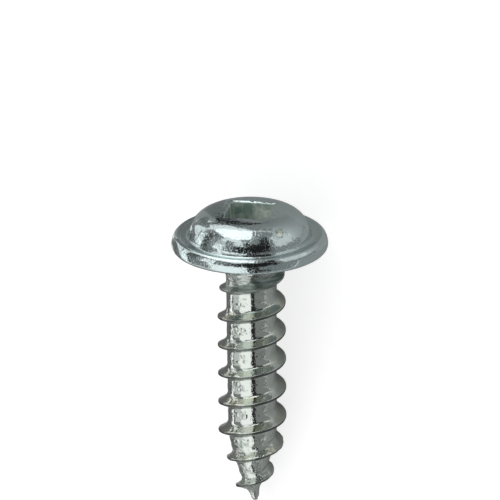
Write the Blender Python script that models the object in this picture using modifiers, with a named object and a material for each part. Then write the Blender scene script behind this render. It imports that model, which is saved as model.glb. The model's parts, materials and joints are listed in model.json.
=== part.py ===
"""A wafer head screw: domed head on a wide round flange, square recess, coarse right-hand thread.

The screw is cold headed and thread rolled from one piece of wire, so it is one solid. It is modelled
upright, with its axis on Z, its bearing face at z = 0 and its point down. Then it is laid on the floor
as it would come to rest: on the rim of the flange and one crest of the thread.
Lengths are metres. A station is a distance down the axis from the bearing face towards the point.
"""

import math

import bmesh
import bpy
from mathutils import Matrix, Vector

MM = 0.001

# Flange, the wide washer of the head, and the collar between its flat bearing face and the neck
FLANGE_DIAMETER = 10.92 * MM
FLANGE_THICKNESS = 1.05 * MM
FLANGE_EDGE_RADIUS = 0.42 * MM
FLANGE_DISH = 0.16 * MM
COLLAR_WIDTH = 0.6 * MM
COLLAR_DROP = 0.05 * MM

# Dome, the driven part of the head: a superellipse with a broad flat land and full shoulders
HEAD_HEIGHT = 2.79 * MM
DOME_DIAMETER = 8.6 * MM
DOME_WIDTH_POWER = 5.6
DOME_HEIGHT_POWER = 1.55
DOME_FILLET = 0.14 * MM

# Square recess
RECESS_MOUTH = 3.05 * MM
RECESS_FLOOR = 2.74 * MM
RECESS_DEPTH = 2.1 * MM
RECESS_POINT_DEPTH = 0.35 * MM
RECESS_CORNER_RADIUS = 0.16 * MM
RECESS_TURN = math.radians(-11.3)

# Shank and gimlet point
SHANK_LENGTH = 18.86 * MM
NECK_FILLET = 0.22 * MM
ROOT_DIAMETER_TOP = 3.56 * MM
ROOT_DIAMETER_END = 3.38 * MM
POINT_LENGTH = 5.3 * MM
POINT_FULLNESS = 1.35
TIP_RADIUS = 0.17 * MM
TIP_BEND = 0.16 * MM
HEAD_OFFSET = 0.09 * MM

# Thread, 12 turns to the inch
PITCH = 2.1167 * MM
THREAD_DIAMETER = 4.76 * MM
CREST_FLAT = 0.17 * MM
SHOULDER_WIDTH = 0.16 * MM
SHOULDER_SHARE = 0.56
FLANK_WIDTH = 0.2 * MM
TOE_WIDTH = 0.2 * MM
TOE_SHARE = 0.14
RIDGE_SINK = 0.3 * MM
THREAD_PHASE_STATION = 4.03 * MM
RUN_IN_LENGTH = 2.3 * MM
RUN_IN_DROP = 0.13 * MM
CREST_TAPER_LENGTH = 4.95 * MM
CREST_AT_POINT = 1.15 * MM
POINT_CREST_FROM_TIP = 1.06 * MM
RIDGE_END_FROM_TIP = 0.42 * MM

# The turn about its own axis at which the screw lies still
REST_ROLL = math.radians(18)

# Facets
TURN_STEPS = 40
DOME_STEPS = 9
EDGE_STEPS = 4
FILLET_STEPS = 3
POINT_STEPS = 8
CORNER_STEPS = 2
SMOOTH_UP_TO = math.radians(40)
CUTTER_MARGIN = 0.5 * MM
TILT_ROUNDS = 4
MERGE_DISTANCE = 0.001 * MM

HALF_STEP = math.pi / TURN_STEPS
FLANGE_RADIUS = FLANGE_DIAMETER / 2
DOME_RADIUS = DOME_DIAMETER / 2
THREAD_RADIUS = THREAD_DIAMETER / 2
ROOT_RADIUS_TOP = ROOT_DIAMETER_TOP / 2
ROOT_RADIUS_END = ROOT_DIAMETER_END / 2
POINT_START = SHANK_LENGTH - POINT_LENGTH
DOME_BASE = FLANGE_THICKNESS - FLANGE_DISH
SHOULDER_HALF = CREST_FLAT / 2 + SHOULDER_WIDTH
TOE_HALF = SHOULDER_HALF + FLANK_WIDTH
FOOT_HALF = TOE_HALF + TOE_WIDTH


def clear_scene():
    for obj in list(bpy.data.objects):
        bpy.data.objects.remove(obj, do_unlink=True)


def make_collection(name):
    collection = bpy.data.collections.new(name)
    bpy.context.scene.collection.children.link(collection)
    return collection


def zinc_plate():
    material = bpy.data.materials.new("zinc_plate")
    material.use_nodes = True
    shader = material.node_tree.nodes["Principled BSDF"]
    shader.inputs["Base Color"].default_value = (0.62, 0.65, 0.64, 1)
    shader.inputs["Metallic"].default_value = 1
    shader.inputs["Roughness"].default_value = 0.28
    return material


def arc(centre, radius, start, end, steps):
    """Points (radius from the axis, height) on an arc, both ends included."""
    points = []
    for step in range(steps + 1):
        angle = start + (end - start) * step / steps
        across = centre[0] + radius * math.cos(angle)
        height = centre[1] + radius * math.sin(angle)
        points.append((across, height))
    return points


def core_radius(station):
    """Radius of the thread's root: a slight taper, then the full, rounded cone of the point."""
    if station <= POINT_START:
        share = max(station, 0) / POINT_START
        return ROOT_RADIUS_TOP + (ROOT_RADIUS_END - ROOT_RADIUS_TOP) * share
    share = min((station - POINT_START) / POINT_LENGTH, 1)
    return TIP_RADIUS + (ROOT_RADIUS_END - TIP_RADIUS) * (1 - share**POINT_FULLNESS)


def crest_radius(station):
    """Radius of the thread's crest: a short run-in under the head, and a taper to the point."""
    fade_start = SHANK_LENGTH - POINT_CREST_FROM_TIP
    taper_start = SHANK_LENGTH - CREST_TAPER_LENGTH
    if station < RUN_IN_LENGTH:
        return THREAD_RADIUS - RUN_IN_DROP * (1 - max(station, 0) / RUN_IN_LENGTH)
    if station <= taper_start:
        return THREAD_RADIUS
    if station <= fade_start:
        share = (station - taper_start) / (fade_start - taper_start)
        return THREAD_RADIUS + (CREST_AT_POINT - THREAD_RADIUS) * share
    share = (station - fade_start) / (SHANK_LENGTH - fade_start)
    return CREST_AT_POINT + (TIP_RADIUS - CREST_AT_POINT) * share


def dome_profile():
    """The dome from its centre down to the flange, as a superellipse with a small fillet at its foot."""
    rise = HEAD_HEIGHT - DOME_BASE
    points = [(0, HEAD_HEIGHT)]
    for step in range(1, DOME_STEPS + 1):
        angle = math.pi / 2 * (1 - step / DOME_STEPS)
        across = DOME_RADIUS * math.cos(angle) ** (2 / DOME_WIDTH_POWER)
        height = DOME_BASE + rise * math.sin(angle) ** (2 / DOME_HEIGHT_POWER)
        if height > DOME_BASE + DOME_FILLET:
            points.append((across, height))
    foot = (DOME_RADIUS + DOME_FILLET, DOME_BASE + DOME_FILLET)
    return points + arc(foot, DOME_FILLET, math.pi, 1.5 * math.pi, FILLET_STEPS)


def flange_profile():
    """The flange's dished top, rolled rim and flat bearing face, then the collar and the neck's fillet."""
    rim = FLANGE_RADIUS - FLANGE_EDGE_RADIUS
    upper = arc((rim, FLANGE_THICKNESS - FLANGE_EDGE_RADIUS), FLANGE_EDGE_RADIUS, math.pi / 2, 0, EDGE_STEPS)
    lower = arc((rim, FLANGE_EDGE_RADIUS), FLANGE_EDGE_RADIUS, 0, -math.pi / 2, EDGE_STEPS)
    fillet_centre = ROOT_RADIUS_TOP + NECK_FILLET
    collar = (fillet_centre + COLLAR_WIDTH, 0)
    neck = (fillet_centre, -COLLAR_DROP - NECK_FILLET)
    return [*upper, *lower, collar, *arc(neck, NECK_FILLET, math.pi / 2, math.pi, FILLET_STEPS)]


def shank_profile():
    """The root of the thread down to the point, ending on the axis."""
    points = []
    for step in range(POINT_STEPS + 1):
        station = POINT_START + POINT_LENGTH * step / POINT_STEPS
        points.append((core_radius(station), -station))
    return [*points, (0, -SHANK_LENGTH - TIP_RADIUS / 2)]


def turned_core(collection):
    """Head and shank without the thread: one profile, turned about the axis."""
    profile = [*dome_profile(), *flange_profile(), *shank_profile()]
    mesh = bpy.data.meshes.new("core_profile")
    vertices = [(across, 0, height) for across, height in profile]
    edges = [(index, index + 1) for index in range(len(profile) - 1)]
    mesh.from_pydata(vertices, edges, [])
    mesh.transform(Matrix.Rotation(HALF_STEP, 4, "Z"))
    core = bpy.data.objects.new("core", mesh)
    collection.objects.link(core)
    turning = core.modifiers.new("turning", "SCREW")
    turning.steps = TURN_STEPS
    turning.render_steps = TURN_STEPS
    turning.use_merge_vertices = True
    turning.merge_threshold = MERGE_DISTANCE
    return core


def ridge_section(station):
    """The thread's tooth at one station, as (radius, station) pairs from its upper foot to its lower."""
    crest = crest_radius(station)
    height = crest - core_radius(station)
    scale = height / (THREAD_RADIUS - ROOT_RADIUS_END)
    levels = [
        (FOOT_HALF, -RIDGE_SINK * scale),
        (TOE_HALF, TOE_SHARE * height),
        (SHOULDER_HALF, SHOULDER_SHARE * height),
    ]
    upper = []
    lower = []
    for side, points in ((-scale, upper), (scale, lower)):
        for along, above_root in levels:
            place = station + side * along
            points.append((core_radius(place) + above_root, place))
        points.append((crest, station + side * CREST_FLAT / 2))
    return [*upper, *reversed(lower)]


def helix_steps():
    """Angle and station of each tooth section, from inside the head down to the point."""
    first_station = -FOOT_HALF
    last_station = SHANK_LENGTH - RIDGE_END_FROM_TIP
    step_rise = PITCH / TURN_STEPS
    first = math.floor((first_station - THREAD_PHASE_STATION) / step_rise)
    last = math.floor((last_station - THREAD_PHASE_STATION) / step_rise)
    for step in range(first, last + 1):
        turns = (step + 0.5) / TURN_STEPS
        yield -turns * 2 * math.pi, THREAD_PHASE_STATION + turns * PITCH


def thread_ridge(collection):
    """The rolled thread as a closed loft of its tooth along a right-hand helix."""
    shape = bmesh.new()
    rings = []
    for angle, station in helix_steps():
        ring = []
        for radius, place in ridge_section(station):
            corner = (radius * math.cos(angle), radius * math.sin(angle), -place)
            ring.append(shape.verts.new(corner))
        rings.append(ring)
    for ring, following in zip(rings, rings[1:]):
        for corner in range(len(ring)):
            after = (corner + 1) % len(ring)
            shape.faces.new((ring[corner], ring[after], following[after], following[corner]))
    shape.faces.new(rings[0])
    shape.faces.new(rings[-1])
    bmesh.ops.recalc_face_normals(shape, faces=shape.faces)
    return helper_object("thread_ridge", shape, collection)


def helper_object(name, shape, collection):
    """A cutter or a piece to be joined: it stays out of renders."""
    mesh = bpy.data.meshes.new(name)
    shape.to_mesh(mesh)
    shape.free()
    obj = bpy.data.objects.new(name, mesh)
    obj.hide_render = True
    obj.display_type = "WIRE"
    collection.objects.link(obj)
    return obj


def recess_cutter(collection):
    """The square punch: slightly tapered, with rounded corners and a shallow pyramid at its end."""
    taper = (RECESS_MOUTH - RECESS_FLOOR) / RECESS_DEPTH
    top_width = RECESS_MOUTH + taper * CUTTER_MARGIN
    length = RECESS_DEPTH + CUTTER_MARGIN
    half_diagonal = math.sqrt(0.5)
    shape = bmesh.new()
    bmesh.ops.create_cone(
        shape,
        cap_ends=True,
        segments=4,
        radius1=RECESS_FLOOR * half_diagonal,
        radius2=top_width * half_diagonal,
        depth=length,
    )
    sides = [edge for edge in shape.edges if abs(edge.verts[0].co.z - edge.verts[1].co.z) > length / 2]
    bmesh.ops.bevel(
        shape,
        geom=sides,
        offset=RECESS_CORNER_RADIUS,
        segments=CORNER_STEPS,
        profile=0.5,
        affect="EDGES",
    )
    shape.faces.ensure_lookup_table()
    floor = min(shape.faces, key=lambda face: face.calc_center_median().z)
    punch_point = bmesh.ops.poke(shape, faces=[floor])["verts"][0]
    punch_point.co.z -= RECESS_POINT_DEPTH
    turn = Matrix.Rotation(RECESS_TURN + math.pi / 4, 4, "Z")
    lift = Matrix.Translation((0, 0, HEAD_HEIGHT + CUTTER_MARGIN - length / 2))
    bmesh.ops.transform(shape, matrix=lift @ turn, verts=shape.verts)
    return helper_object("recess_cutter", shape, collection)


def add_boolean(obj, name, other, operation):
    modifier = obj.modifiers.new(name, "BOOLEAN")
    modifier.object = other
    modifier.operation = operation
    modifier.solver = "EXACT"


def set_off_centre(mesh):
    """Heading leaves the head a little off the shank's axis, and rolling bends the tip to one side."""
    for vertex in mesh.vertices:
        in_head = min(max(vertex.co.z / NECK_FILLET + 1, 0), 1)
        in_point = max(0, -vertex.co.z - POINT_START) / POINT_LENGTH
        vertex.co.x += TIP_BEND * in_point**2 - HEAD_OFFSET * in_head


def solid_mesh(core):
    """The core with its Booleans done, as one plain mesh whose faces share their corners."""
    graph = bpy.context.evaluated_depsgraph_get()
    mesh = bpy.data.meshes.new_from_object(core.evaluated_get(graph))
    mesh.name = "wafer_head_screw"
    shape = bmesh.new()
    shape.from_mesh(mesh)
    bmesh.ops.remove_doubles(shape, verts=shape.verts, dist=MERGE_DISTANCE)
    shape.to_mesh(mesh)
    shape.free()
    set_off_centre(mesh)
    return mesh


def rest_tilt(points):
    """Angle between the axis and the floor when the rim and a crest both touch. +Y faces down."""
    head = [point for point in points if point.z >= 0]
    thread = [point for point in points if point.z < -PITCH]
    tilt = 0
    for _ in range(TILT_ROUNDS):
        rim = min(head, key=lambda point: point.z * math.sin(tilt) - point.y * math.cos(tilt))
        tilt = min(math.atan2(rim.y - point.y, rim.z - point.z) for point in thread)
    return tilt


def lay_down(screw):
    """Rolls the screw to where it lies still and tips it over, head towards +Y. Its box is centred
    over the origin, on the floor."""
    roll = Matrix.Rotation(REST_ROLL, 3, "Z")
    tilt = rest_tilt([roll @ vertex.co for vertex in screw.data.vertices])
    screw.rotation_mode = "ZYX"
    screw.rotation_euler = (tilt - math.pi / 2, 0, REST_ROLL)
    turned = screw.rotation_euler.to_matrix()
    points = [turned @ vertex.co for vertex in screw.data.vertices]
    low = Vector(min(point[axis] for point in points) for axis in range(3))
    high = Vector(max(point[axis] for point in points) for axis in range(3))
    middle = (low + high) / 2
    screw.location = (-middle.x, -middle.y, -low.z)


def build():
    clear_scene()
    parts = make_collection("wafer_head_screw")
    tools = make_collection("cutters")
    core = turned_core(tools)
    core.hide_render = True
    core.display_type = "WIRE"
    add_boolean(core, "add_thread", thread_ridge(tools), "UNION")
    add_boolean(core, "cut_recess", recess_cutter(tools), "DIFFERENCE")
    bpy.context.view_layer.update()
    mesh = solid_mesh(core)
    mesh.materials.append(zinc_plate())
    mesh.shade_smooth()
    mesh.set_sharp_from_angle(angle=SMOOTH_UP_TO)
    screw = bpy.data.objects.new("wafer_head_screw", mesh)
    parts.objects.link(screw)
    lay_down(screw)


build()
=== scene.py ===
"""Looks of the wafer head screw: its fine surface, zinc plating, floor, studio light and camera.

The screw is shaped upright in millimetres, with its axis on Z, its bearing face at z = 0 and its point
down, as one closed grid of rings and helical rows. Then it is scaled to metres and laid where the
frame's screw lies. A station is a distance down the axis from the bearing face towards the point.
The photograph looks along +Y of the upright screw, from above the plane of the head.
"""

import json
import math

import bmesh
import bpy
import numpy as np
from mathutils import Euler, Matrix, Vector, noise


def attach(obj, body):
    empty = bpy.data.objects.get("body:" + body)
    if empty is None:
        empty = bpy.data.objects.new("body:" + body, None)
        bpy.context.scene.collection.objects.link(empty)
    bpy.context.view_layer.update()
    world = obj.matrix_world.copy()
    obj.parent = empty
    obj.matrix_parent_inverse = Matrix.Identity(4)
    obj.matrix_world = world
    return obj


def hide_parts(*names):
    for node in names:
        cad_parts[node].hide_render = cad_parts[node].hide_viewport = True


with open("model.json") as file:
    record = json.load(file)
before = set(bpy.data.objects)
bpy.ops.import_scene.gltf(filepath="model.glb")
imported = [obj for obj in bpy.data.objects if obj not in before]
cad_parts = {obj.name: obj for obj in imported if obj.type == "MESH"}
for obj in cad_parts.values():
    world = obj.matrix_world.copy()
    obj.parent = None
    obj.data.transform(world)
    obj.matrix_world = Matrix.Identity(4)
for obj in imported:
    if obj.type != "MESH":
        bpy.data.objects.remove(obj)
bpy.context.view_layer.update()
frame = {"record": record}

MM = 0.001

# Head, close to the frame's solid. The rim is rounded further down from its top than the solid's is.
FLANGE_RADIUS = 5.46
FLANGE_THICKNESS = 1.05
FLANGE_EDGE_RADIUS = 0.42
RIM_TOP_DEPTH = 0.78
FLANGE_DISH = 0.16
HEAD_HEIGHT = 2.79
DOME_RADIUS = 4.3
DOME_WIDTH_POWER = 5.6
DOME_HEIGHT_POWER = 1.55
DOME_FILLET = 0.14
LAND_HEIGHT = 2.73
LAND_EDGE_SOFTNESS = 0.012
FULL_CIRCLE_RADIUS = 3.05
COLLAR_RADIUS = 2.6
COLLAR_DROP = 0.05
NECK_FILLET = 0.22
HEAD_OFFSET = 0.09

# Square recess
RECESS_MOUTH = 3.05
RECESS_FLOOR = 2.74
RECESS_DEPTH = 2.1
RECESS_POINT_DEPTH = 0.35
RECESS_CORNER_RADIUS = 0.16
RECESS_TURN = math.radians(-11.3)
RECESS_LIP = 0.05

# Shank and point
SHANK_LENGTH = 18.86
ROOT_RADIUS_TOP = 1.78
ROOT_RADIUS_END = 1.69
POINT_LENGTH = 5.3
POINT_FULLNESS = 1.35
TIP_RADIUS = 0.17
TIP_BEND = 0.16
TIP_BEND_POWER = 14

# Thread. Its tooth is slimmer than the solid's, with a longer upper flank and a steeper lower one.
# The widths go outwards from the crest: shoulder, flank and toe. A share is of the tooth's height.
PITCH = 2.1167
THREAD_RADIUS = 2.38
CREST_FLAT = 0.11
SHOULDER_SHARE = 0.56
TOE_SHARE = 0.14
UPPER_WIDTHS = (0.18, 0.2, 0.22)
LOWER_WIDTHS = (0.11, 0.12, 0.1)
CREST_ROUNDING = 0.025
UPPER_TOE_ROUNDING = 0.09
LOWER_TOE_ROUNDING = 0.04
LOWER_FLANK_SHIFT = 0.06
THREAD_PHASE_STATION = 4.03
RUN_IN_STATIONS = (0, 1.9, 2.95, 4)
RUN_IN_DROPS = (0.13, 0.05, 0.14, 0)
CREST_TAPER_LENGTH = 4.95
CREST_AT_POINT = 1.15
POINT_CREST_FROM_TIP = 1.06
LEAST_TOOTH_SCALE = 0.05

# Small marks: grain of the plating, dents, rings on the flange and a ring-shaped pit on the dome.
# Here and below, an angle is in degrees about the axis, and 270 faces the camera.
DENT_SIZE = 0.55
DENT_DEPTH = 0.005
GRAIN_SIZE = 0.17
GRAIN_DEPTH = 0.0018
FLANGE_RING_PITCH = 0.17
FLANGE_RING_DEPTH = 0.003
RING_PIT_PLACE = (2.0, -3.02, 2.26)
RING_PIT_RADIUS = 0.23
RING_PIT_WIDTH = 0.08
RING_PIT_DEPTH = 0.05
DOME_SIDE_HEIGHT = 1.5
RECESS_ROUGHNESS_DEPTH = 0.012
POINT_ROUGHNESS_DEPTH = 0.035

# Die marks in the root, one crater to a cell. A crater has a ring, given by its radius and width, and a
# dip in the middle, given by its depth and radius. Radii and width are shares of the cell's size, and
# the dip's depth is a share of the ring's height. Craters and raised marks lie below the tooth.
CRATER_SIZE = 0.42
CRATER_DEPTH = 0.036
CRATER_RING = (0.36, 0.13)
CRATER_MIDDLE = (0.6, 0.18)
CRATER_BELOW_TOOTH = (0.62, 1.25)
CRATERS_FADED_ANGLES = (259, 285)
CRATERS_STRONG_ANGLES = (228, 259)
CRATERS_START = 1.5
RAISED_MARKS = ((0.72, 284, 306), (0.94, 282, 300), (1.16, 285, 312))
RAISED_MARK_WIDTH = 0.045
RAISED_MARK_HEIGHT = 0.022
RAISED_MARKS_START = 2.5

# Burr of the recess, streaks of the neck and twist of the tip
BURR_HEIGHT = 0.085
BURR_WIDTH = 0.12
NECK_STREAK_DEPTH = 0.075
NECK_STREAK_STATIONS = (0.35, 2.1)
TIP_TWIST_PITCH = 1.3
TIP_TWIST_HEIGHT = 0.05
TIP_TWIST_FROM_TIP = (1.3, 0.1)

# Colours of the plating, linear
COOL_ZINC = (0.555, 0.645, 0.645, 1)
PLAIN_ZINC = (0.600, 0.645, 0.605, 1)
YELLOW_STAIN = (0.670, 0.680, 0.530, 1)
PINK_STAIN = (0.640, 0.600, 0.610, 1)
RUBBED_MARK = (0.24, 0.28, 0.26, 1)
# Painted shade: nearly black along the thread's crest, to draw its dark line
PAINTED_CREST_SHADE = (0.12, 0.13, 0.125, 1)
PUNCHED_DARK = (0.30, 0.41, 0.37, 1)
PUNCHED_LIGHT = (0.78, 0.86, 0.78, 1)
# Painted glints in the painted reflection on the recess's right wall
PAINTED_GLINT = (1.0, 1.0, 0.97, 1)
# Painted shade towards the floor of the recess
RECESS_FLOOR_SHADE = (0.16, 0.2, 0.18, 1)
SCUFFED_DARK = (0.22, 0.25, 0.23, 1)
SCUFFED_LIGHT = (0.56, 0.6, 0.57, 1)

# Bump of the plating, in metres
PLATING_BUMP = 0.000006
SPECK_BUMP = 0.0000055

# How it lies: the roll about its own axis, and where the mount sits on the bearing face
REST_ROLL = math.radians(18)
MOUNT_RADIUS = 3.82

# Grid
COLUMNS = 200
MERGE_DISTANCE = 1e-5
LAND_SHARES = (0.01, 0.02, 0.035, 0.05, 0.065, 0.08, 0.1, 0.14, 0.2, 0.3, 0.42, 0.55, 0.7, 0.85, 1)

# Rows of one turn: how many cross the crest, and on each side of it the first and the last distance
# from the middle of the tooth, and how many
CREST_ROWS = 4
SHOULDER_ROWS = (0.08, 0.2, 5)
FLANK_ROWS = (0.25, 0.67, 8)
ROOT_ROWS = (0.72, PITCH / 2, 7)

# Camera
PHOTO_SIZE = 500
PIXELS_PER_MM = 14.365
ORIGIN_PIXEL = (251.1, 247.3)
VIEW_ELEVATION = math.radians(21.3)
VIEW_ROLL = math.radians(0.45)
LENS = 1500
SENSOR = 36
CLIP_END = 20

# Studio. Cards light the screw, screens are only mirrored in it, and sheets lie on the floor.
WORLD_COLOUR = (0.27, 0.28, 0.28, 1)
CARD_DISTANCE = 250
HEAD_SOFTBOX_TURN = -69
SCREEN_STEPS = 13
FLOOR_REACH = 3000
FLOOR_ALBEDO = 0.45
FLOOR_GLOW = 0.76

# Name, distance from the axis, the two heights, azimuths at the lower and at the upper one, radiance
SCREENS = (
    ("key_low", 60, (-160, -22), (-58, -1), (-58, -1), 1.3),
    ("key_high", 60, (-22, 22), (-58, -1), (-62, -9), 1.3),
    ("key_top", 60, (22, 75), (-62, -9), (-66, -20), 1.1),
    ("fill_low", 60, (-160, -23), (-91, -58), (-91, -58), 0.75),
    ("strip_left", 60, (-160, 25), (-112, -99), (-112, -99), 1.6),
    ("gap_left", 59, (-160, 7), (-99, -92), (-99, -92), 0.1),
    ("strip_left_top", 58, (7, 34), (-109, -95), (-105, -97), 1.1),
    ("edge_left", 59, (-160, 25), (-135, -112), (-135, -112), 0.1),
    ("line_low", 57, (-160, -22), (-2.5, 14.5), (-2.5, 14.5), 0.03),
    ("line_high", 57, (-22, 50), (-2.5, 14.5), (-11, 5), 0.03),
    ("left_dark", 14, (0.6, 13.5), (-89, -73), (-89, -76), 0.1),
    ("front_black", 14, (2.2, 6.5), (-22, 35), (-22, 35), 0.02),
    ("front_black_top", 14, (6.5, 9), (-8, 35), (-8, 35), 0.02),
    ("column_black", 14, (9, 20), (17, 35), (24, 42), 0.03),
    ("front_grey", 14, (2.2, 11), (-45, -30), (-45, -30), 0.25),
    ("front_grey_low", 14, (2.2, 6.5), (-30, -22), (-30, -22), 0.12),
    ("front_streak", 14, (6.8, 11.5), (-30, -20), (-30, -20), 1.0),
    ("front_grey_top", 14, (9, 12.5), (-5, 17), (-5, 17), 0.35),
    ("left_patch", 14, (2.4, 6), (-64, -46), (-62, -46), 1.4),
    ("left_patch_top", 14, (6, 9), (-62, -46), (-62, -46), 0.65),
    ("rim_black", 14, (-3.6, -1.2), (-3, 25), (-5, 23), 0.03),
    ("right_grey", 14, (2, 13), (35, 43), (35, 46), 0.25),
    ("right_wall_low", 14, (0.8, 4), (43, 95), (43, 95), 0.3),
    ("right_wall", 14, (4, 17), (43, 80), (46, 80), 0.82),
)

# Name, two opposite corners on the floor, height over it, albedo on the left and on the right, glow
SHEETS = (
    ("grey_sheet", (-11, -70), (140, 21.5), 0.02, (0.48, 0.7), 0),
    ("left_sheet", (-34, -70), (-11, 12), 0.02, (0.2, 0.2), 0),
    ("light_sheet", (-7, 11.5), (25, 40), 0.03, (0.26, 1.0), 0),
    ("rim_sheet", (4, 11), (40, 17.5), 0.025, (0.24, 0.3), 0),
    ("far_sheet", (-7, 33), (60, 180), 0.02, (0.24, 0.8), 0),
    ("land_sheet", (-4, 9.5), (6, 15), 0.04, (0.5, 0.66), 0),
    ("near_right_sheet", (6, 8.5), (30, 11.2), 0.04, (0.6, 0.6), 0),
    ("edge_sheet", (-8.9, -30), (-4, 9.5), 0.03, (0.24, 0.24), 0),
    ("edge_sheet_low", (-12, -30), (-8.9, 2.6), 0.03, (0.3, 0.3), 0),
    ("lobe_strip", (-11.9, 2.2), (-9.1, 6.2), 0.04, (1.0, 1.0), 0.35),
    ("lobe_strip_top", (-11.9, 7.8), (-9.1, 9.4), 0.04, (1.0, 1.0), 0.35),
)

# Name, start and end of its middle line, width, height over the floor, albedo
BANDS = (
    ("left_band", (-11, 14), (-50, 53), 8, 0.04, 0.25),
    ("black_band_low", (-2.2, 16), (-9, 25), 4.8, 0.05, 0.04),
    ("black_band_high", (-8, 24), (-21, 30), 5, 0.06, 0.06),
)

POINT_START = SHANK_LENGTH - POINT_LENGTH
DOME_BASE = FLANGE_THICKNESS - FLANGE_DISH
SHANK_TOP = COLLAR_DROP
PLAIN_ROOT_START = NECK_FILLET * 2
SHANK_END = SHANK_LENGTH + TIP_RADIUS / 2
COLUMN_ANGLES = np.arange(COLUMNS) * 2 * math.pi / COLUMNS


def place_in_frame():
    """Matrix from the upright screw, in metres, to where the frame's screw lies."""
    mount = frame["record"]["mounts"][0]
    tilt = math.asin(-mount["axis"][2])
    turned = Euler((tilt - math.pi / 2, 0, REST_ROLL), "ZYX").to_matrix()
    on_face = Vector((-HEAD_OFFSET, -MOUNT_RADIUS, 0)) * MM
    origin = Vector(mount["pos_m"]) - turned @ on_face
    return Matrix.Translation(origin) @ turned.to_4x4()


def ring(radii, heights):
    """One ring of the grid: a point for each column, from its radius and height."""
    points = np.empty((COLUMNS, 3))
    points[:, 0] = radii * np.cos(COLUMN_ANGLES)
    points[:, 1] = radii * np.sin(COLUMN_ANGLES)
    points[:, 2] = heights
    return points


def rounded_square(half_width, corner):
    """Distance from the axis to a rounded square's outline, for each column."""
    angles = COLUMN_ANGLES - RECESS_TURN
    across = np.abs(np.cos(angles))
    along = np.abs(np.sin(angles))
    flat = half_width / np.maximum(across, along)
    inner = half_width - corner
    on_corner = flat * np.minimum(across, along) > inner
    reach = (across + along) * inner
    curved = reach + np.sqrt(np.maximum(reach**2 - 2 * inner**2 + corner**2, 0))
    return np.where(on_corner, curved, flat)


def dome_height(radii):
    """Height of the dome at a distance from the axis, levelled off to the flat land on top."""
    share = np.clip(np.asarray(radii) / DOME_RADIUS, 0, 1)
    rise = (1 - share**DOME_WIDTH_POWER) ** (1 / DOME_HEIGHT_POWER)
    dome = DOME_BASE + (HEAD_HEIGHT - DOME_BASE) * rise
    over = (LAND_HEIGHT - dome) / LAND_EDGE_SOFTNESS
    return LAND_HEIGHT - LAND_EDGE_SOFTNESS * np.logaddexp(0, over)


def recess_rings():
    """From the point of the punch out over the floor, up the walls and over the lip."""
    floor_height = HEAD_HEIGHT - RECESS_DEPTH
    rings = [ring(0, floor_height - RECESS_POINT_DEPTH)]
    for share in np.linspace(0, 1, 7)[1:]:
        outline = rounded_square(RECESS_FLOOR / 2 * share, RECESS_CORNER_RADIUS * share)
        rings.append(ring(outline, floor_height - RECESS_POINT_DEPTH * (1 - share)))
    mouth_height = LAND_HEIGHT - RECESS_LIP
    for share in np.linspace(0, 1, 14)[1:]:
        width = RECESS_FLOOR + (RECESS_MOUTH - RECESS_FLOOR) * share
        outline = rounded_square(width / 2, RECESS_CORNER_RADIUS)
        rings.append(ring(outline, floor_height + (mouth_height - floor_height) * share))
    for angle in np.radians((30, 60, 90)):
        half_width = RECESS_MOUTH / 2 + RECESS_LIP * (1 - math.cos(angle))
        outline = rounded_square(half_width, RECESS_CORNER_RADIUS)
        rings.append(ring(outline, mouth_height + RECESS_LIP * math.sin(angle)))
    return rings


def land_rings():
    """From the lip of the recess out to full circles on the shoulder of the dome."""
    outline = rounded_square(RECESS_MOUTH / 2 + RECESS_LIP, RECESS_CORNER_RADIUS)
    rings = []
    for share in LAND_SHARES:
        radii = outline + (FULL_CIRCLE_RADIUS - outline) * share
        rings.append(ring(radii, dome_height(radii)))
    return rings


def dome_rings():
    """Down the shoulder and the side of the dome to the fillet at its foot."""
    start = math.acos((FULL_CIRCLE_RADIUS / DOME_RADIUS) ** (DOME_WIDTH_POWER / 2))
    rings = []
    for angle in np.linspace(start, 0, 34)[1:]:
        radius = DOME_RADIUS * math.cos(angle) ** (2 / DOME_WIDTH_POWER)
        height = float(dome_height(radius))
        if height > DOME_BASE + DOME_FILLET:
            rings.append(ring(radius, height))
    for angle in np.radians(np.linspace(180, 270, 6)):
        radius = DOME_RADIUS + DOME_FILLET + DOME_FILLET * math.cos(angle)
        rings.append(ring(radius, DOME_BASE + DOME_FILLET + DOME_FILLET * math.sin(angle)))
    return rings


def flange_rings():
    """Over the dished top, round the rim and in across the flat bearing face to the collar."""
    rim = FLANGE_RADIUS - FLANGE_EDGE_RADIUS
    foot = DOME_RADIUS + DOME_FILLET
    rings = []
    for share in np.linspace(0, 1, 9)[1:-1]:
        rings.append(ring(foot + (rim - foot) * share, DOME_BASE + FLANGE_DISH * share**2))
    for angle in np.radians(np.linspace(90, 0, 14)):
        radius = rim + FLANGE_EDGE_RADIUS * math.cos(angle)
        rings.append(ring(radius, FLANGE_THICKNESS - RIM_TOP_DEPTH * (1 - math.sin(angle))))
    under = FLANGE_THICKNESS - RIM_TOP_DEPTH
    for angle in np.radians(np.linspace(0, -90, 8)[1:]):
        radius = FLANGE_RADIUS - under * (1 - math.cos(angle))
        rings.append(ring(radius, under * (1 + math.sin(angle))))
    inner = FLANGE_RADIUS - under
    for share in np.linspace(0, 1, 7)[1:]:
        rings.append(ring(inner + (COLLAR_RADIUS - inner) * share, 0))
    return rings


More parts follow.
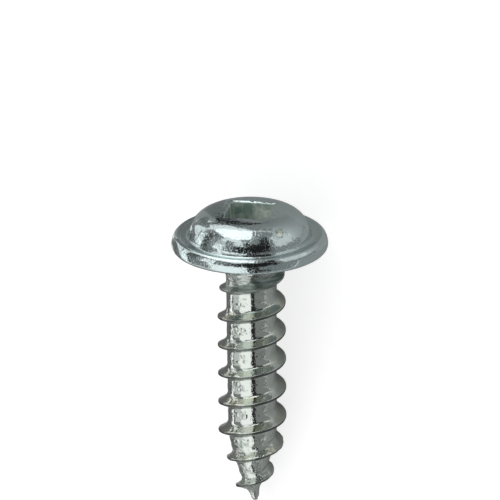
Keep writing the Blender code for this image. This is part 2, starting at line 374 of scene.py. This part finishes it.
def core_radius(station):
    """Radius of the thread's root, with the fillet of the neck and the rounded cone of the point."""
    station = np.asarray(station, float)
    down = np.clip(station / POINT_START, 0, 1)
    straight = ROOT_RADIUS_TOP + (ROOT_RADIUS_END - ROOT_RADIUS_TOP) * down
    share = np.clip((station - POINT_START) / POINT_LENGTH, 0, 1)
    point = TIP_RADIUS + (ROOT_RADIUS_END - TIP_RADIUS) * (1 - share**POINT_FULLNESS)
    radius = np.where(station < POINT_START, straight, point)
    beyond = np.clip((station - SHANK_LENGTH) / (SHANK_END - SHANK_LENGTH), 0, 1)
    radius = radius * np.sqrt(1 - beyond**2)
    over_fillet = np.clip(COLLAR_DROP + NECK_FILLET - station, 0, NECK_FILLET)
    fillet = ROOT_RADIUS_TOP + NECK_FILLET - np.sqrt(NECK_FILLET**2 - over_fillet**2)
    return np.where(over_fillet > 0, np.maximum(radius, fillet), radius)


def crest_radius(station):
    """Radius of the thread's crest: an uneven run-in under the head, and a taper to the point."""
    places = (SHANK_LENGTH - CREST_TAPER_LENGTH, SHANK_LENGTH - POINT_CREST_FROM_TIP, SHANK_LENGTH)
    radii = (THREAD_RADIUS, CREST_AT_POINT, TIP_RADIUS)
    return np.interp(station, places, radii) - np.interp(station, RUN_IN_STATIONS, RUN_IN_DROPS)


def one_flank(aside, widths, toe_rounding):
    """Share of the full height at a distance from the middle, for one side of the tooth, with its
    corners rounded by averaging over a short way to both sides."""
    places = CREST_FLAT / 2 + np.concatenate(((0,), np.cumsum(widths)))
    shares = (1, SHOULDER_SHARE, TOE_SHARE, 0)
    rounding = np.interp(aside, (places[0], places[2]), (CREST_ROUNDING, toe_rounding))
    shifts = np.linspace(-1, 1, 9)
    heights = [np.interp(aside + rounding * shift, places, shares) for shift in shifts]
    return np.mean(heights, axis=0)


def tooth_share(offset):
    """How high the tooth stands, as a share of its full height, at a distance from its middle."""
    upper = one_flank(-offset, UPPER_WIDTHS, UPPER_TOE_ROUNDING)
    lower = one_flank(offset - LOWER_FLANK_SHIFT, LOWER_WIDTHS, LOWER_TOE_ROUNDING)
    return np.where(offset < 0, upper, lower)


def row_offsets():
    """Distances from the middle of the tooth to each row of one turn, closer together on the tooth."""
    crest = np.linspace(-CREST_FLAT / 2, CREST_FLAT / 2, CREST_ROWS)
    flank = np.concatenate((np.linspace(*SHOULDER_ROWS), np.linspace(*FLANK_ROWS)))
    root = np.linspace(*ROOT_ROWS)
    return np.concatenate((-root[::-1], -flank[::-1], crest, flank, root[:-1]))


def shank_grid():
    """Stations and tooth offsets of the helical rows, and the number of rows in a turn."""
    offsets = row_offsets()
    turns = math.ceil(SHANK_END / PITCH) + 3
    first = -math.ceil(THREAD_PHASE_STATION / PITCH) - 1
    middles = THREAD_PHASE_STATION + PITCH * np.arange(first, first + turns)
    rows = (middles[:, None] + offsets[None, :]).ravel()
    shifts = np.tile(offsets, len(middles))
    stations = rows[:, None] - PITCH * np.arange(COLUMNS)[None, :] / COLUMNS
    return stations, shifts, len(offsets)


def shank_points():
    """Every point of the thread and its root, clamped to the neck above and the tip below."""
    stations, shifts, rows_per_turn = shank_grid()
    tooth_middle = stations - shifts[:, None]
    inside = np.clip(stations, SHANK_TOP, SHANK_END)
    core = core_radius(inside)
    root_at_tooth = core_radius(np.clip(tooth_middle, PLAIN_ROOT_START, None))
    height = np.maximum(crest_radius(tooth_middle) - root_at_tooth, 0)
    full_height = THREAD_RADIUS - ROOT_RADIUS_END
    scale = np.maximum(height / full_height, LEAST_TOOTH_SCALE)
    offset = inside - tooth_middle
    plain_core = core_radius(np.maximum(inside, PLAIN_ROOT_START))
    tooth = plain_core + height * tooth_share(offset / scale)
    radius = np.maximum(core, tooth)
    radius = np.where(inside >= SHANK_LENGTH, core, radius)
    angles = np.broadcast_to(COLUMN_ANGLES, inside.shape)
    points = np.stack((radius * np.cos(angles), radius * np.sin(angles), -inside), axis=-1)
    return points, rows_per_turn


def grid_faces(rows, wrap, base):
    """Quads between rows; the last column joins the first one, wrap rows further up."""
    faces = []
    for row in range(rows - 1):
        for column in range(COLUMNS):
            after = column + 1
            shift = 0
            if after == COLUMNS:
                after = 0
                shift = wrap
            if row - shift < 0:
                continue
            this = base + row * COLUMNS
            below = this + COLUMNS
            turned = shift * COLUMNS
            faces.append((this + column, below + column, below + after - turned, this + after - turned))
    return faces


def set_off_centre(points):
    """Heading leaves the head a little off the shank's axis, and rolling bends the tip to one side."""
    in_head = np.clip(points[:, 2] / NECK_FILLET + 1, 0, 1)
    in_point = np.maximum(0, -points[:, 2] - POINT_START) / POINT_LENGTH
    points[:, 0] += TIP_BEND * in_point**TIP_BEND_POWER - HEAD_OFFSET * in_head


def noise_at(points, size, seed):
    """Smooth noise from about -1 to 1 at each point, with features of the given size."""
    shifted = points / size + seed * 17.3
    return np.array([noise.noise(point) for point in shifted.tolist()])


def band(values, low, high, softness):
    """1 between two values and 0 outside them, with soft edges."""
    rise = np.clip((values - low) / softness + 0.5, 0, 1)
    fall = np.clip((high - values) / softness + 0.5, 0, 1)
    return rise * fall


def surface_masks(points):
    """Whether each point is on the head and in the recess, and how high it is up the tooth, from 0 to
    1, with its distance from the recess's middle, measured square to the recess's sides."""
    radius = np.hypot(points[:, 0], points[:, 1])
    station = -points[:, 2]
    head = (station < 0.001).astype(float)
    outline_angle = np.arctan2(points[:, 1], points[:, 0]) - RECESS_TURN
    facing = np.maximum(np.abs(np.cos(outline_angle)), np.abs(np.sin(outline_angle)))
    square = radius * facing
    recess = head * (square < RECESS_MOUTH / 2 + RECESS_LIP * 0.6) * (points[:, 2] > 0.1)
    stand = crest_radius(station) - core_radius(np.clip(station, PLAIN_ROOT_START, SHANK_LENGTH))
    above_root = radius - core_radius(np.clip(station, PLAIN_ROOT_START, SHANK_END))
    tooth = above_root / np.maximum(stand, 0.1)
    tooth = np.clip(tooth, 0, 1) * (1 - head)
    return {"head": head, "recess": recess.astype(float), "tooth": tooth, "square": square}


def below_tooth(points):
    """Distance down the axis from the middle of the tooth above, and the angle about the axis."""
    angle = np.arctan2(points[:, 1], points[:, 0]) % (2 * math.pi)
    station = -points[:, 2]
    below = (station - THREAD_PHASE_STATION + PITCH * angle / (2 * math.pi)) % PITCH
    return below, np.degrees(angle)


def craters(points, masks):
    """Ring-shaped marks that the rolling dies left below each tooth: 1 on the ring, under 0 in it."""
    below, angle = below_tooth(points)
    place = np.zeros_like(points)
    place[:, 0] = np.radians(angle) * ROOT_RADIUS_TOP
    place[:, 1] = points[:, 2]
    height = np.zeros(len(points))
    zone = band(below, *CRATER_BELOW_TOOTH, 0.15) * (1 - masks["head"]) * (points[:, 2] < -CRATERS_START)
    zone = zone * (1 - band(angle, *CRATERS_FADED_ANGLES, 4))
    zone = zone * (0.5 + band(angle, *CRATERS_STRONG_ANGLES, 4))
    ring_radius, ring_width = CRATER_RING
    middle_depth, middle_radius = CRATER_MIDDLE
    for index in np.flatnonzero(zone > 0).tolist():
        distances, _ = noise.voronoi(Vector(place[index]) / CRATER_SIZE)
        away = distances[0]
        middle = middle_depth * math.exp(-(away / middle_radius) ** 2)
        height[index] = math.exp(-((away - ring_radius) / ring_width) ** 2) - middle
    return height * zone


def raised_marks(points):
    """Three short ridges beside each other along the thread, once in each turn."""
    below, angle = below_tooth(points)
    height = np.zeros(len(points))
    for place, start, end in RAISED_MARKS:
        height += np.exp(-((below - place) / RAISED_MARK_WIDTH) ** 2) * band(angle, start, end, 3)
    return height * (points[:, 2] < -RAISED_MARKS_START) * (points[:, 2] > -POINT_START)


def recess_burr(points, masks):
    """Ragged lip that the punch raised, highest along the back edge of the recess."""
    behind = masks["square"] - RECESS_MOUTH / 2 - RECESS_LIP
    ramp = np.interp(behind, (0, BURR_WIDTH, BURR_WIDTH * 1.5), (0, 1, 0), left=0)
    near = ramp * masks["head"] * (points[:, 2] > LAND_HEIGHT - 0.2)
    turned = np.arctan2(points[:, 1], points[:, 0]) - RECESS_TURN
    back = np.clip((np.sin(turned) - 0.6) * 6, 0, 1)
    side = np.clip((np.abs(np.cos(turned)) - 0.6) * 3, 0, 1)
    flat = points * (1, 1, 0)
    ragged = 0.85 + 0.6 * noise_at(flat, 0.16, 3) + 0.5 * noise_at(flat, 0.6, 3)
    return near * np.clip(ragged, 0.3, 1.4) * (back + 0.4 * side)


def fine_relief(points, masks, die_marks):
    """Height of the surface's small marks above its plain form, in millimetres."""
    head = masks["head"]
    root = (masks["tooth"] < 0.12) * (1 - head)
    station = -points[:, 2]
    open_face = 1 - masks["recess"]
    height = DENT_DEPTH * noise_at(points, DENT_SIZE, 1) * open_face
    height += GRAIN_DEPTH * noise_at(points, GRAIN_SIZE, 2)
    scored = noise_at(points * (1, 1, 0.35), 0.25, 5)
    height += RECESS_ROUGHNESS_DEPTH * masks["recess"] * scored
    from_pit = np.hypot(points[:, 0] - RING_PIT_PLACE[0], points[:, 1] - RING_PIT_PLACE[1])
    on_front = head * (points[:, 2] > DOME_SIDE_HEIGHT)
    ring_shape = np.exp(-((from_pit - RING_PIT_RADIUS) / RING_PIT_WIDTH) ** 2)
    height -= RING_PIT_DEPTH * ring_shape * on_front
    height += CRATER_DEPTH * die_marks * (0.7 + 0.6 * noise_at(points, 0.9, 6))
    height += RAISED_MARK_HEIGHT * raised_marks(points) * (0.7 + 0.9 * noise_at(points, 0.5, 9))
    twist = np.arctan2(points[:, 1], points[:, 0]) + 2 * math.pi * station / TIP_TWIST_PITCH
    twist_start, twist_end = (SHANK_LENGTH - reach for reach in TIP_TWIST_FROM_TIP)
    in_tip = band(station, twist_start, twist_end, 0.3)
    height += TIP_TWIST_HEIGHT * np.sin(twist) * in_tip
    in_point = np.clip((station - POINT_START + 1) / 2, 0, 1) * (1 - head)
    height += POINT_ROUGHNESS_DEPTH * in_point * noise_at(points, 0.4, 7)
    in_neck = band(station, *NECK_STREAK_STATIONS, 0.3)
    streaks = noise_at(points * (0.5, 0.5, 2.6), 0.3, 8)
    height += NECK_STREAK_DEPTH * streaks * in_neck * root
    return height


def screw_mesh(place):
    """Head and shank as one closed mesh, laid in the frame, in metres."""
    head = np.concatenate([*recess_rings(), *land_rings(), *dome_rings(), *flange_rings()])
    shank, rows_per_turn = shank_points()
    points = np.concatenate((head, shank[0], shank.reshape(-1, 3)))
    head_rows = len(head) // COLUMNS + 1
    faces = grid_faces(head_rows, 0, 0)
    faces += grid_faces(shank.shape[0], rows_per_turn, head_rows * COLUMNS)
    mesh = bpy.data.meshes.new("wafer_head_screw_fine")
    mesh.from_pydata(points.tolist(), [], faces)
    shape = bmesh.new()
    shape.from_mesh(mesh)
    bmesh.ops.remove_doubles(shape, verts=shape.verts, dist=MERGE_DISTANCE)
    loose = [vertex for vertex in shape.verts if not vertex.link_faces]
    bmesh.ops.delete(shape, geom=loose, context="VERTS")
    bmesh.ops.recalc_face_normals(shape, faces=shape.faces)
    shape.to_mesh(mesh)
    shape.free()
    count = len(mesh.vertices)
    flat = np.empty(count * 3)
    mesh.vertices.foreach_get("co", flat)
    points = flat.reshape(-1, 3).copy()
    mesh.vertices.foreach_get("normal", flat)
    normals = flat.reshape(-1, 3).copy()
    masks = surface_masks(points)
    die_marks = craters(points, masks)
    points += normals * fine_relief(points, masks, die_marks)[:, None]
    masks["die_mark"] = np.clip(die_marks * 1.3, 0, 1)
    points[:, 2] += BURR_HEIGHT * recess_burr(points, masks)
    set_off_centre(points)
    mesh.vertices.foreach_set("co", (points * MM).ravel())
    upright = mesh.attributes.new("upright", "FLOAT_VECTOR", "POINT")
    upright.data.foreach_set("vector", points.ravel())
    for name in ("head", "recess", "tooth", "die_mark"):
        layer = mesh.attributes.new(name, "FLOAT", "POINT")
        layer.data.foreach_set("value", masks[name].astype(np.float32))
    mesh.transform(place)
    mesh.update()
    mesh.shade_smooth()
    return mesh


class Shader:
    """Short names for the nodes and links of one material."""

    def __init__(self, name):
        self.material = bpy.data.materials.new(name)
        self.material.use_nodes = True
        self.nodes = self.material.node_tree.nodes
        self.links = self.material.node_tree.links
        self.surface = self.nodes["Principled BSDF"]

    def put(self, socket, value):
        if isinstance(value, bpy.types.NodeSocket):
            self.links.new(value, socket)
        else:
            socket.default_value = value

    def attribute(self, name, output="Fac"):
        node = self.nodes.new("ShaderNodeAttribute")
        node.attribute_name = name
        return node.outputs[output]

    def math(self, operation, first, second=0.0, clamp=False):
        node = self.nodes.new("ShaderNodeMath")
        node.operation = operation
        node.use_clamp = clamp
        self.put(node.inputs[0], first)
        self.put(node.inputs[1], second)
        return node.outputs[0]

    def noise(self, vector, scale, detail=2.0):
        node = self.nodes.new("ShaderNodeTexNoise")
        node.inputs["Scale"].default_value = scale
        node.inputs["Detail"].default_value = detail
        self.put(node.inputs["Vector"], vector)
        return node.outputs["Fac"]

    def stretch(self, vector, factors):
        node = self.nodes.new("ShaderNodeVectorMath")
        node.operation = "MULTIPLY"
        self.put(node.inputs[0], vector)
        node.inputs[1].default_value = factors
        return node.outputs[0]

    def distance(self, vector, place):
        node = self.nodes.new("ShaderNodeVectorMath")
        node.operation = "DISTANCE"
        self.put(node.inputs[0], vector)
        node.inputs[1].default_value = place
        return node.outputs["Value"]

    def remap(self, value, low, high, to_low=0.0, to_high=1.0):
        node = self.nodes.new("ShaderNodeMapRange")
        self.put(node.inputs["Value"], value)
        node.inputs["From Min"].default_value = low
        node.inputs["From Max"].default_value = high
        node.inputs["To Min"].default_value = to_low
        node.inputs["To Max"].default_value = to_high
        return node.outputs["Result"]

    def mix(self, share, first, second):
        node = self.nodes.new("ShaderNodeMix")
        node.data_type = "RGBA"
        self.put(node.inputs["Factor"], share)
        self.put(node.inputs["A"], first)
        self.put(node.inputs["B"], second)
        return node.outputs["Result"]

    def bump(self, height, distance, normal=None):
        node = self.nodes.new("ShaderNodeBump")
        node.inputs["Distance"].default_value = distance
        self.put(node.inputs["Height"], height)
        if normal is not None:
            self.put(node.inputs["Normal"], normal)
        return node.outputs["Normal"]


def zinc_colour(shader, place, along, worn_neck):
    """Cool on the head and plainer on the shank, with stains, rubbed marks, painted shade along the
    crest, and the recess with a painted reflection and painted shade towards its floor.
    """
    tooth = shader.attribute("tooth")
    colour = shader.mix(shader.attribute("head"), PLAIN_ZINC, COOL_ZINC)
    stain = shader.remap(shader.noise(place, 1.1), 0.45, 0.65)
    flank = shader.math("MULTIPLY", shader.remap(tooth, 0.05, 0.3), stain, True)
    colour = shader.mix(shader.math("MULTIPLY", flank, 0.7), colour, YELLOW_STAIN)
    tarnish = shader.remap(shader.distance(place, RING_PIT_PLACE), 0.36, 0.22, 0, 0.5)
    colour = shader.mix(tarnish, colour, YELLOW_STAIN)
    blush = shader.remap(shader.noise(place, 0.7, 1.0), 0.58, 0.8, 0, 0.35)
    colour = shader.mix(blush, colour, PINK_STAIN)
    patchy = shader.remap(shader.noise(place, 4.0), 0.35, 0.6)
    worn = shader.math("MULTIPLY", shader.attribute("die_mark"), patchy)
    colour = shader.mix(shader.math("MULTIPLY", worn, 0.7, True), colour, RUBBED_MARK)
    # Painted shade: the crest is coloured nearly black for the dark line along it
    colour = shader.mix(shader.remap(tooth, 0.96, 1.0), colour, PAINTED_CREST_SHADE)
    colour = shader.mix(shader.attribute("recess"), colour, punched_colour(shader, place, along))
    level = shader.stretch(place, (0.6, 0.6, 4.0))
    streaks = shader.remap(shader.noise(level, 1.6, 3.0), 0.4, 0.62)
    scuffed = shader.mix(streaks, SCUFFED_DARK, SCUFFED_LIGHT)
    return shader.mix(shader.math("MULTIPLY", worn_neck, 0.85), colour, scuffed)


def punched_colour(shader, place, along):
    """The recess: patchy, with a painted reflection and painted glints on its right below the lip, and
    painted shade darker towards its floor.
    """
    # Painted reflection: the recess's right wall below the lip is made lighter, with painted glints in
    # it
    on_right = shader.remap(along["X"], 0.0, 0.7)
    below_lip = shader.remap(along["Z"], 2.6, 2.2)
    reflected_patch = shader.math("MULTIPLY", on_right, below_lip, True)
    patches = shader.remap(shader.noise(place, 1.5, 4.0), 0.38, 0.72)
    patches = shader.math("ADD", patches, shader.math("MULTIPLY", reflected_patch, 0.6), True)
    punched = shader.mix(patches, PUNCHED_DARK, PUNCHED_LIGHT)
    glints = shader.remap(shader.noise(place, 4.5, 2.0), 0.5, 0.58)
    punched = shader.mix(shader.math("MULTIPLY", reflected_patch, glints, True), punched, PAINTED_GLINT)
    # Painted shade: darker towards the recess's floor
    return shader.mix(shader.remap(along["Z"], 1.5, 0.6), punched, RECESS_FLOOR_SHADE)


def zinc_roughness(shader, place, worn_neck):
    """Glossy with faint clouds, duller on the neck, the crest and in the recess."""
    cloud = shader.remap(shader.noise(place, 1.6), 0.3, 0.75, 0.04, 0.1)
    cloud = shader.math("ADD", cloud, shader.math("MULTIPLY", worn_neck, 0.2))
    crest = shader.remap(shader.attribute("tooth"), 0.96, 1.0)
    rubbed = shader.math("ADD", cloud, shader.math("MULTIPLY", crest, 0.25))
    return shader.math("ADD", rubbed, shader.math("MULTIPLY", shader.attribute("recess"), 0.35), True)


def zinc_relief(shader, place, along):
    """Bump of the plating: uneven all over, with specks, and with faint turned rings on the flange."""
    head = shader.attribute("head")
    relief = shader.bump(shader.noise(place, 2.5, 2.0), PLATING_BUMP)
    specks = shader.remap(shader.noise(place, 7.5, 1.0), 0.52, 0.66)
    on_point = shader.remap(along["Z"], -13.0, -16.0, 0, 1.3)
    strength = shader.math("ADD", shader.remap(head, 0, 1, 0.5, 1), on_point)
    relief = shader.bump(shader.math("MULTIPLY", specks, strength), SPECK_BUMP, relief)
    squares = [shader.math("POWER", along[axis], 2.0) for axis in "XY"]
    radius = shader.math("SQRT", shader.math("ADD", *squares))
    rings = shader.math("SINE", shader.math("MULTIPLY", radius, 2 * math.pi / FLANGE_RING_PITCH))
    on_flange = shader.math("MULTIPLY", head, shader.remap(radius, 4.4, 4.5))
    return shader.bump(shader.math("MULTIPLY", rings, on_flange), FLANGE_RING_DEPTH * MM, relief)


def zinc_plate():
    """Bright zinc over rolled steel: fine grain, faint tints, dull where the dies and punch rubbed, with
    painted shade along the crest and in the recess and a painted reflection in the recess.
    """
    shader = Shader("zinc_plate")
    place = shader.attribute("upright", "Vector")
    separate = shader.nodes.new("ShaderNodeSeparateXYZ")
    shader.put(separate.inputs[0], place)
    along = separate.outputs
    under_head = shader.remap(along["Z"], -0.1, -0.4)
    worn_neck = shader.math("MULTIPLY", shader.remap(along["Z"], -3.0, -2.3), under_head, True)
    inputs = shader.surface.inputs
    shader.put(inputs["Base Color"], zinc_colour(shader, place, along, worn_neck))
    shader.put(inputs["Metallic"], shader.remap(shader.attribute("recess"), 0, 1, 1, 0.55))
    shader.put(inputs["Roughness"], zinc_roughness(shader, place, worn_neck))
    shader.put(inputs["Normal"], zinc_relief(shader, place, along))
    return shader.material


def make_screw(place):
    """The fine screw, which takes the place of the frame's solid in the picture."""
    mesh = screw_mesh(place)
    mesh.materials.append(zinc_plate())
    screw = bpy.data.objects.new("wafer_head_screw_fine", mesh)
    bpy.context.scene.collection.objects.link(screw)
    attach(screw, "root")
    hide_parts("wafer_head_screw")


def view_direction(azimuth, elevation):
    """Upright direction from the screw: azimuth to the right of the photograph's view, in degrees."""
    turn = math.radians(azimuth)
    rise = math.radians(elevation)
    return Vector((math.sin(turn) * math.cos(rise), -math.cos(turn) * math.cos(rise), math.sin(rise)))


def make_camera(place):
    """Looks on the screw as the photograph does, with a long lens."""
    right = Vector((1, 0, 0))
    up = Vector((0, math.sin(VIEW_ELEVATION), math.cos(VIEW_ELEVATION)))
    back = right.cross(up)
    roll = Matrix.Rotation(-VIEW_ROLL, 3, back)
    right = roll @ right
    up = roll @ up
    distance = LENS / SENSOR * PHOTO_SIZE / PIXELS_PER_MM
    middle = PHOTO_SIZE / 2
    aside = (middle - ORIGIN_PIXEL[0]) / PIXELS_PER_MM
    above = (ORIGIN_PIXEL[1] - middle) / PIXELS_PER_MM
    spot = (right * aside + up * above + back * distance) * MM
    axes = Matrix((right, up, back)).transposed()
    camera = bpy.data.objects.new("camera", bpy.data.cameras.new("camera"))
    camera.data.lens = LENS
    camera.data.sensor_width = SENSOR
    camera.data.clip_end = CLIP_END
    camera.matrix_world = place @ Matrix.LocRotScale(spot, axes.to_quaternion(), None)
    bpy.context.scene.collection.objects.link(camera)
    bpy.context.scene.camera = camera


def emission_material(name, radiance):
    """An even white glow."""
    material = bpy.data.materials.new(name)
    material.use_nodes = True
    nodes = material.node_tree.nodes
    nodes.remove(nodes["Principled BSDF"])
    light = nodes.new("ShaderNodeEmission")
    light.inputs["Color"].default_value = (1, 1, 1, 1)
    light.inputs["Strength"].default_value = radiance
    material.node_tree.links.new(light.outputs["Emission"], nodes["Material Output"].inputs["Surface"])
    return material


def make_card(name, place, azimuths, elevations, radiance, turn=0):
    """A flat studio card that faces the screw, between two azimuths and two elevations in degrees."""
    azimuth = (azimuths[0] + azimuths[1]) / 2
    elevation = (elevations[0] + elevations[1]) / 2
    towards = view_direction(azimuth, elevation)
    half_width = math.radians(azimuths[1] - azimuths[0]) / 2 * math.cos(math.radians(elevation))
    half_height = math.radians(elevations[1] - elevations[0]) / 2
    bpy.ops.mesh.primitive_plane_add(size=1)
    card = bpy.context.object
    card.name = name
    size = Vector((2 * math.tan(half_width), 2 * math.tan(half_height), 1))
    back = -towards
    right = Matrix.Rotation(math.radians(turn), 3, back) @ Vector((0, 0, 1)).cross(back).normalized()
    axes = Matrix((right, back.cross(right), back)).transposed()
    distance = CARD_DISTANCE * MM
    upright = Matrix.LocRotScale(towards * distance, axes.to_quaternion(), size * distance)
    card.matrix_world = place @ upright
    card.data.materials.append(emission_material(name, radiance))
    card.visible_camera = False
    return card


def make_screen(name, place, radius, heights, low, high, radiance):
    """A curved screen round the screw's axis that only the metal mirrors.

    It reaches between two heights in millimetres, from the azimuths low to the azimuths high.
    """
    points = []
    for height, (left, right) in zip(heights, (low, high)):
        for turn in np.linspace(left, right, SCREEN_STEPS):
            points.append(view_direction(turn, 0) * radius + Vector((0, 0, height)))
    faces = []
    for step in range(SCREEN_STEPS - 1):
        faces.append((step, step + 1, step + 1 + SCREEN_STEPS, step + SCREEN_STEPS))
    mesh = bpy.data.meshes.new(name)
    mesh.from_pydata([place @ (point * MM) for point in points], [], faces)
    mesh.materials.append(emission_material(name, radiance))
    screen = bpy.data.objects.new(name, mesh)
    bpy.context.scene.collection.objects.link(screen)
    screen.visible_camera = False
    screen.visible_diffuse = False
    screen.visible_shadow = False


def make_light(place):
    """A plain grey world and three soft cards. The metal mirrors only the one above the head."""
    world = bpy.data.worlds.new("studio")
    bpy.context.scene.world = world
    world.use_nodes = True
    world.node_tree.nodes["Background"].inputs["Color"].default_value = WORLD_COLOUR
    make_card("key_softbox", place, (-60, 0), (-75, 1), 1.5).visible_glossy = False
    make_card("side_softbox", place, (-68, -30), (1, 46), 1.1).visible_glossy = False
    make_card("head_softbox", place, (-134, -4), (44, 97), 1.75, turn=HEAD_SOFTBOX_TURN)


def make_screens(place):
    """What the metal mirrors: far screens for the shank, and near ones, nearly all for the head."""
    for name, *rest in SCREENS:
        make_screen(name, place, *rest)


def plane_on_floor(name, low, high, height, albedos, glow, turn=0):
    """A flat sheet between two corners in millimetres, graded from left to right, turned in its plane.

    Its glow is seen by the camera and mirrored in the metal, but it lights nothing.
    """
    bpy.ops.mesh.primitive_plane_add(size=1)
    sheet = bpy.context.object
    sheet.name = name
    middle = Vector((low[0] + high[0], low[1] + high[1], 2 * height)) / 2 * MM
    size = Vector((high[0] - low[0], high[1] - low[1], 1)) * MM
    sheet.matrix_world = Matrix.LocRotScale(middle, Euler((0, 0, turn)), size)
    shader = Shader(name)
    left, right = ((albedo, albedo, albedo, 1) for albedo in albedos)
    across = shader.nodes.new("ShaderNodeSeparateXYZ")
    shader.put(across.inputs[0], shader.nodes.new("ShaderNodeTexCoord").outputs["Generated"])
    shader.put(shader.surface.inputs["Base Color"], shader.mix(across.outputs["X"], left, right))
    shader.surface.inputs["Roughness"].default_value = 1
    shader.surface.inputs["Specular IOR Level"].default_value = 0
    if glow > 0:
        path = shader.nodes.new("ShaderNodeLightPath")
        seen = shader.math("MAXIMUM", path.outputs["Is Camera Ray"], path.outputs["Is Glossy Ray"])
        seen = shader.math("MAXIMUM", seen, path.outputs["Is Transmission Ray"])
        shader.surface.inputs["Emission Color"].default_value = (1, 1, 1, 1)
        shader.put(shader.surface.inputs["Emission Strength"], shader.math("MULTIPLY", seen, glow))
    sheet.data.materials.append(shader.material)
    return sheet


def make_band(name, start, end, width, height, albedo):
    """A narrow sheet on the floor along a line, that only the metal mirrors."""
    along = Vector((end[0] - start[0], end[1] - start[1]))
    middle = Vector((start[0] + end[0], start[1] + end[1])) / 2
    half = Vector((width, along.length)) / 2
    turn = along.angle_signed(Vector((0, 1)))
    make_sheet(name, middle - half, middle + half, height, (albedo, albedo), 0, turn)


def make_sheet(name, low, high, height, albedos, glow, turn=0):
    """A sheet on the floor that only the metal mirrors."""
    sheet = plane_on_floor(name, low, high, height, albedos, glow, turn)
    sheet.visible_camera = False
    sheet.visible_diffuse = False
    sheet.visible_shadow = False


def make_floor():
    """A white floor, and the sheets and bands on it that grade what the metal mirrors."""
    reach = (FLOOR_REACH, FLOOR_REACH)
    albedos = (FLOOR_ALBEDO, FLOOR_ALBEDO)
    plane_on_floor("floor", (-FLOOR_REACH, -FLOOR_REACH), reach, 0, albedos, FLOOR_GLOW)
    for row in SHEETS:
        make_sheet(*row)
    for row in BANDS:
        make_band(*row)


bpy.context.scene.view_settings.view_transform = "Standard"
lying = place_in_frame()
make_screw(lying)
make_camera(lying)
make_light(lying)
make_screens(lying)
make_floor()
